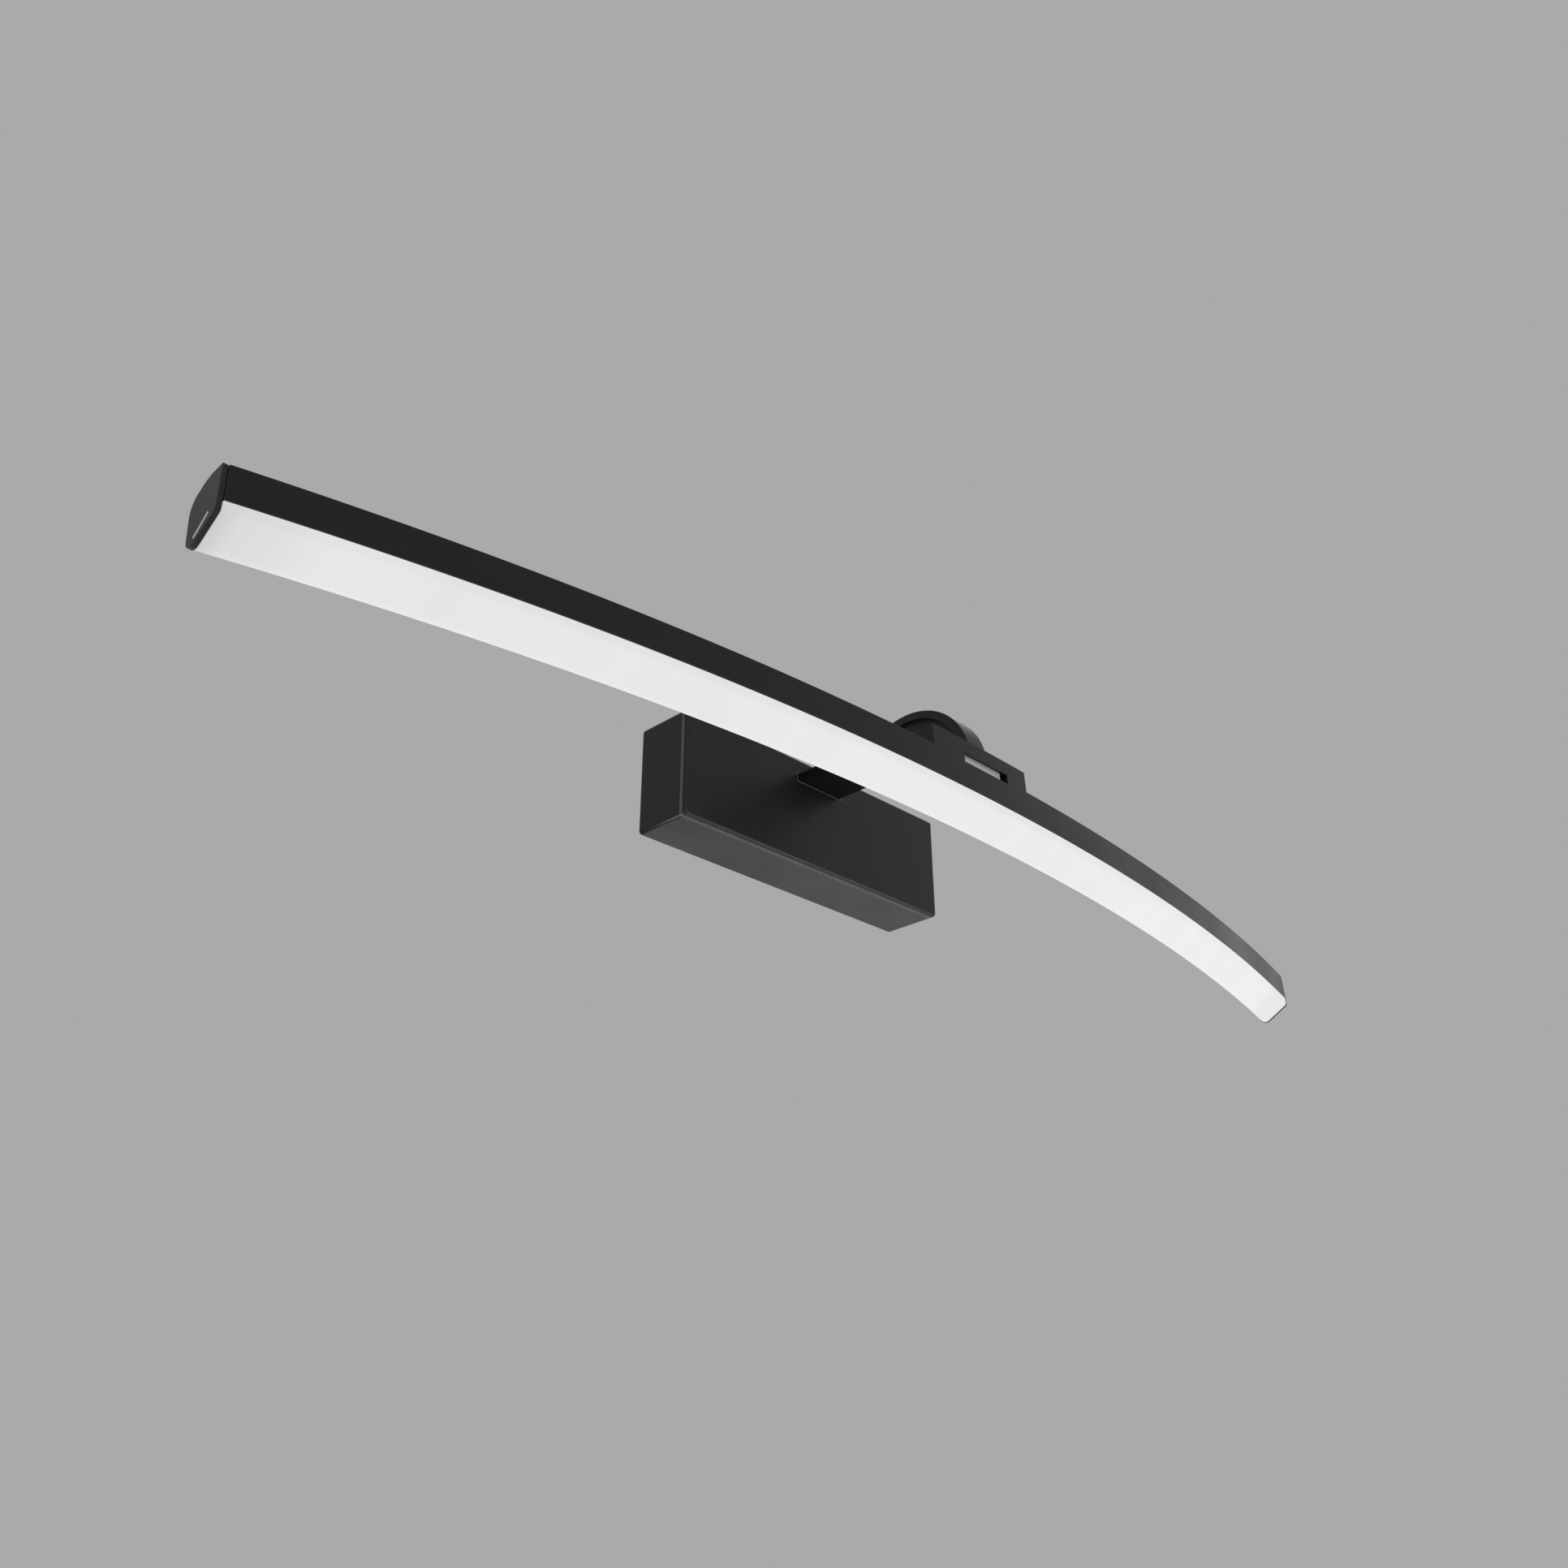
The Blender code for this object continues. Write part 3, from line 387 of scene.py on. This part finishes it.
def cad_copy(node):
    """The node's own mesh with its flats joined up, ready for finer edges."""
    source = frame["nodes"][node]
    bm = bmesh.new()
    bm.from_mesh(source.data)
    bmesh.ops.transform(bm, matrix=source.matrix_world, verts=bm.verts)
    bmesh.ops.remove_doubles(bm, verts=bm.verts, dist=WELD)
    bmesh.ops.dissolve_limit(bm, angle_limit=math.radians(FLAT_ANGLE), verts=bm.verts, edges=bm.edges)
    mesh = mesh_from(bm, node + "_fine")
    for name in ("custom_normal", "sharp_edge", "sharp_face"):
        if name in mesh.attributes:
            mesh.attributes.remove(mesh.attributes[name])
    return mesh


def fine_copy(node, bevel):
    """A finer stand-in for a CAD node."""
    mesh = cad_copy(node)
    smooth(mesh, EDGE_ANGLE)
    made = new_piece(node + "_fine", mesh, node)
    if bevel:
        soften(made, bevel, segments=2, angle=EDGE_ANGLE)
    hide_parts(node)


# The bar

def arc(centre, radius, start, stop, steps):
    """Points on a circle, with angles in degrees."""
    angles = [math.radians(start + (stop - start) * i / steps) for i in range(steps + 1)]
    return [(centre[0] + radius * math.cos(a), centre[1] + radius * math.sin(a)) for a in angles]


def ring(x, outline):
    """Section of the bar where it crosses the plane at x, in the head's frame."""
    centre = FRONT_Y + BAR_RADIUS
    return [Vector((x, centre - math.sqrt((BAR_RADIUS + out) ** 2 - x ** 2), BAR_TOP + up))
            for out, up in outline]


def loft(name, outline, stations, closed_ends):
    """The bar's skin through sections at the given places along X, moved to the object's frame."""
    bm = bmesh.new()
    rings = [[bm.verts.new(HEAD @ point) for point in ring(x, outline)] for x in stations]
    count = len(outline)
    for first, second in zip(rings, rings[1:]):
        for i in range(count):
            bm.faces.new((first[i - 1], first[i], second[i], second[i - 1]))
    if closed_ends:
        bm.faces.new(rings[0])
        bm.faces.new(reversed(rings[-1]))
    return mesh_from(bm, name)


def spread(low, high, steps):
    """Evenly spaced numbers from low to high."""
    return [low + (high - low) * i / steps for i in range(steps + 1)]


LIP_TOP = -FASCIA_HEIGHT - GAP
TUBE_FRONT = -FASCIA_WALL - GAP
FRONT_ROUND = arc((-TUBE_FRONT_ROUND, LIP_TOP - TUBE_FRONT_ROUND), TUBE_FRONT_ROUND, 0, -59, 8)
BOTTOM_ROUND = arc((-11.2 * MM, -17.0 * MM), 3.2 * MM, -59, -174, 17)
BACK_ROUND = arc((-8.8 * MM, -8.0 * MM), 6.5 * MM, -174, -270, 19)
TUBE_OUTLINE = ([(0, LIP_TOP)] + FRONT_ROUND[1:] + BOTTOM_ROUND + BACK_ROUND
                + [(-3.0 * MM, -1.5 * MM), (TUBE_FRONT, -3.0 * MM), (TUBE_FRONT, LIP_TOP)])
WIDE_STATIONS = spread(-TUBE_HALF, -TAB_HALF, 40) + spread(-TAB_HALF, TAB_HALF, 10)[1:]
WIDE_STATIONS += spread(TAB_HALF, TUBE_HALF, 40)[1:]


def head_box(low, high):
    """A box cutter in the head's frame."""
    mesh = box_mesh(low, high)
    mesh.transform(HEAD)
    return mesh


def make_fascia():
    """Black front strip with its flange, raised tab and slot."""
    outline = [(0, 0), (0, -FASCIA_HEIGHT), (-FASCIA_WALL, -FASCIA_HEIGHT), (-FASCIA_WALL, -FASCIA_WALL),
               (-FLANGE_DEPTH, -FASCIA_WALL), (-FLANGE_DEPTH, 0), (-FASCIA_WALL, 0)]
    bm = bmesh.new()
    bm.from_mesh(loft("fascia_fine", outline, WIDE_STATIONS, True))
    bm.normal_update()
    up = HEAD.to_3x3() @ Vector((0, 0, 1))
    undo = HEAD.inverted()
    strip = []
    for face in bm.faces:
        middle = undo @ face.calc_center_median()
        if face.normal.dot(up) > 0.9 and middle.z > BAR_TOP - 0.1 * MM and abs(middle.x) < TAB_HALF:
            if middle.y < FRONT_Y + TAB_STRIP:
                strip.append(face)
    raised = bmesh.ops.extrude_face_region(bm, geom=strip)["geom"]
    bmesh.ops.delete(bm, geom=strip, context="FACES")
    tops = [v for v in raised if isinstance(v, bmesh.types.BMVert)]
    bmesh.ops.translate(bm, verts=tops, vec=up * TAB_RISE)
    made = new_piece("fascia_fine", mesh_from(bm, "fascia_fine"), "fascia")
    cut(made, [head_box(SLOT_LOW, SLOT_HIGH)])
    smooth(made.data, 25)
    soften(made, FASCIA_EDGE, segments=3, angle=40)
    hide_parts("fascia")


def make_diffuser():
    """Opal tube."""
    mesh = loft("diffuser_fine", TUBE_OUTLINE, spread(-TUBE_HALF, TUBE_HALF, 90), False)
    smooth(mesh, 40)
    made = new_piece("diffuser_fine", mesh, "diffuser")
    wall = made.modifiers.new("wall", "SOLIDIFY")
    wall.thickness = TUBE_WALL
    wall.offset = -1
    wall.use_even_offset = True
    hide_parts("diffuser")


# The base

def make_cover():
    """Folded cover with soft edges, a hairline seam, the arm's slot and the screw holes."""
    low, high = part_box("base_cover")
    mesh = box_mesh(low, high)
    made = new_piece("cover_fine", mesh, "base_cover")
    soften(made, COVER_ROUND, segments=5)
    settle(made)
    arm_low, arm_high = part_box("arm")
    slot_low = (arm_low.x - GAP, low.y - MM, arm_low.z - GAP)
    slot_high = (arm_high.x + GAP, low.y + CUT_REACH, arm_high.z + GAP)
    inside = box_mesh(low + Vector((COVER_SHEET, COVER_SHEET, COVER_SHEET)),
                      (high.x - COVER_SHEET, high.y + 10 * MM, high.z - COVER_SHEET))
    tools = [inside, box_mesh(slot_low, slot_high)]
    for node in ("cover_screw_left", "cover_screw_right"):
        first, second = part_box(node)
        x = (first.x + second.x) / 2
        y = (first.y + second.y) / 2
        tools.append(rod_mesh(SCREW_HOLE_RADIUS, (x, y, high.z + MM), (x, y, high.z - CUT_REACH), 32))
    # a hairline seam all round, just behind the front face
    front = low.y + SEAM_PLACE
    back = front + SEAM_WIDTH
    for x in (low.x, high.x):
        tools.append(box_mesh((x - SEAM_DEPTH, front, low.z - MM), (x + SEAM_DEPTH, back, high.z + MM)))
    for z in (low.z, high.z):
        tools.append(box_mesh((low.x - MM, front, z - SEAM_DEPTH), (high.x + MM, back, z + SEAM_DEPTH)))
    cut(made, tools)
    smooth(made.data, 30)
    keep_flats_flat(made)
    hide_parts("base_cover")


def make_end_cap(side, node):
    """End cap with a narrow slit beside the tube's lower edge, where the light shows through."""
    made = new_piece(node + "_fine", cad_copy(node), node)
    face = side * BAR_HALF
    start, end = ring(face, [SLIT_FRONT, SLIT_BACK])
    along = (end - start).normalized()
    turn = Matrix((Vector((1, 0, 0)), along, Vector((1, 0, 0)).cross(along))).transposed().to_4x4()
    length = (end - start).length
    place = HEAD @ Matrix.Translation((start + end) / 2) @ turn
    half = Vector((SLIT_DEPTH, length / 2, SLIT_WIDTH / 2))
    opening = box_mesh(-half, half)
    opening.transform(place)
    cut(made, [opening])
    smooth(made.data, 30)
    soften(made, CAP_EDGE, segments=2, angle=40)
    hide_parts(node)
    middle = Vector((-side * STRIP_INSET, 0, 0))
    half = Vector((STRIP_THICKNESS / 2, length / 2 - STRIP_CLEARANCE, SLIT_WIDTH / 2 - STRIP_CLEARANCE))
    strip = box_mesh(middle - half, middle + half)
    strip.transform(place)
    window = new_piece(node + "_slit", strip, node, LOOKS["dim_opal"])
    soften(window, STRIP_EDGE, segments=2)


make_cover()
make_fascia()
make_diffuser()
make_end_cap(-1, "end_cap_left")
make_end_cap(1, "end_cap_right")

# Rounded edges of the copied nodes, in millimetres. A screw gets SCREW_BEVEL, any other node none
BEVELS = {"arm": 0.3, "yoke": 0.35, "head_bracket": 0.3, "wall_plate": 0.2, "arm_bracket": 0.35,
          "driver_strap": 0.2, "terminal_block": 0.15, "tilt_nut": 0.35, "led_carrier": 0.12,
          "cable_grommet": 0.3, "friction_washer_left": 0.12, "friction_washer_right": 0.12}
SCREW_BEVEL = 0.12
MADE_ABOVE = {"base_cover", "fascia", "diffuser", "end_cap_left", "end_cap_right"}
for node_name in sorted(frame["nodes"]):
    if node_name not in MADE_ABOVE:
        plain = SCREW_BEVEL if "screw" in node_name else 0.0
        fine_copy(node_name, BEVELS.get(node_name, plain) * MM)


# Stage, light and camera

def plain_material(name, colour):
    """Matt studio surface with a trace of unevenness."""
    return finish(name, tuple(c * 0.97 for c in colour), colour, (0.8, 0.9), grain=300, bump=0.02, blotch=2)


FLOOR_DROP = 3.2
FLOOR_HALF = 60
SURROUND = (0.40, 0.40, 0.41, 1)
AIM = (0, -0.05, 0)
# Each softbox: its place, its side in metres and its power in watts
SOFTBOXES = {"key_light": ((-1.5, -1.2, 1.0), 0.9, 1.8),
             "side_light": ((2.0, -0.2, 0.9), 1.4, 4.2),
             "edge_light": ((1.0, -0.72, -0.98), 0.4, 5),
             "low_light": ((1.9, 1.7, -1.3), 3.2, 16),
             "high_light": ((1.5, 1.1, 1.5), 1.6, 14)}
CAMERA_PLACE = (-0.3914199, -0.3900135, -0.2558435)
CAMERA_AIM = Vector((0.63737565, 0.62381531, 0.45233475))
CAMERA_ROLL = -0.0046
CAMERA_LENS = 34.776


def make_floor():
    """Pale floor well below the light."""
    bm = bmesh.new()
    bmesh.ops.create_grid(bm, x_segments=8, y_segments=8, size=FLOOR_HALF)
    floor = bpy.data.objects.new("studio_floor", mesh_from(bm, "studio_floor"))
    floor.location = (0, 0, -FLOOR_DROP)
    bpy.context.scene.collection.objects.link(floor)
    floor.data.materials.append(plain_material("studio_floor", (0.90, 0.90, 0.91)))


def soft_light(name, place, size, power):
    """A square softbox turned to the object's middle."""
    data = bpy.data.lights.new(name, "AREA")
    data.size = size
    data.energy = power
    lamp = bpy.data.objects.new(name, data)
    lamp.location = place
    lamp.rotation_mode = "QUATERNION"
    lamp.rotation_quaternion = (Vector(AIM) - Vector(place)).to_track_quat("-Z", "Y")
    lamp.visible_camera = False
    bpy.context.scene.collection.objects.link(lamp)


def make_lights():
    """Grey surroundings, two softboxes in front, one to the right and two behind on the right."""
    world = bpy.data.worlds.new("studio")
    bpy.context.scene.world = world
    world.use_nodes = True
    surroundings = world.node_tree.nodes["Background"]
    surroundings.inputs["Color"].default_value = SURROUND
    surroundings.inputs["Strength"].default_value = 1.0
    for name, (place, size, power) in SOFTBOXES.items():
        soft_light(name, place, size, power)


def make_camera():
    """Camera below, left and in front of the light, looking up at it."""
    data = bpy.data.cameras.new("camera")
    data.lens = CAMERA_LENS
    data.sensor_width = 36
    data.clip_start = 0.01
    camera = bpy.data.objects.new("camera", data)
    camera.location = CAMERA_PLACE
    camera.rotation_mode = "QUATERNION"
    camera.rotation_quaternion = CAMERA_AIM.to_track_quat("-Z", "Y") @ Quaternion((0, 0, 1), CAMERA_ROLL)
    bpy.context.scene.collection.objects.link(camera)
    bpy.context.scene.camera = camera


make_floor()
make_lights()
make_camera()
bpy.context.scene.view_settings.view_transform = "Standard"
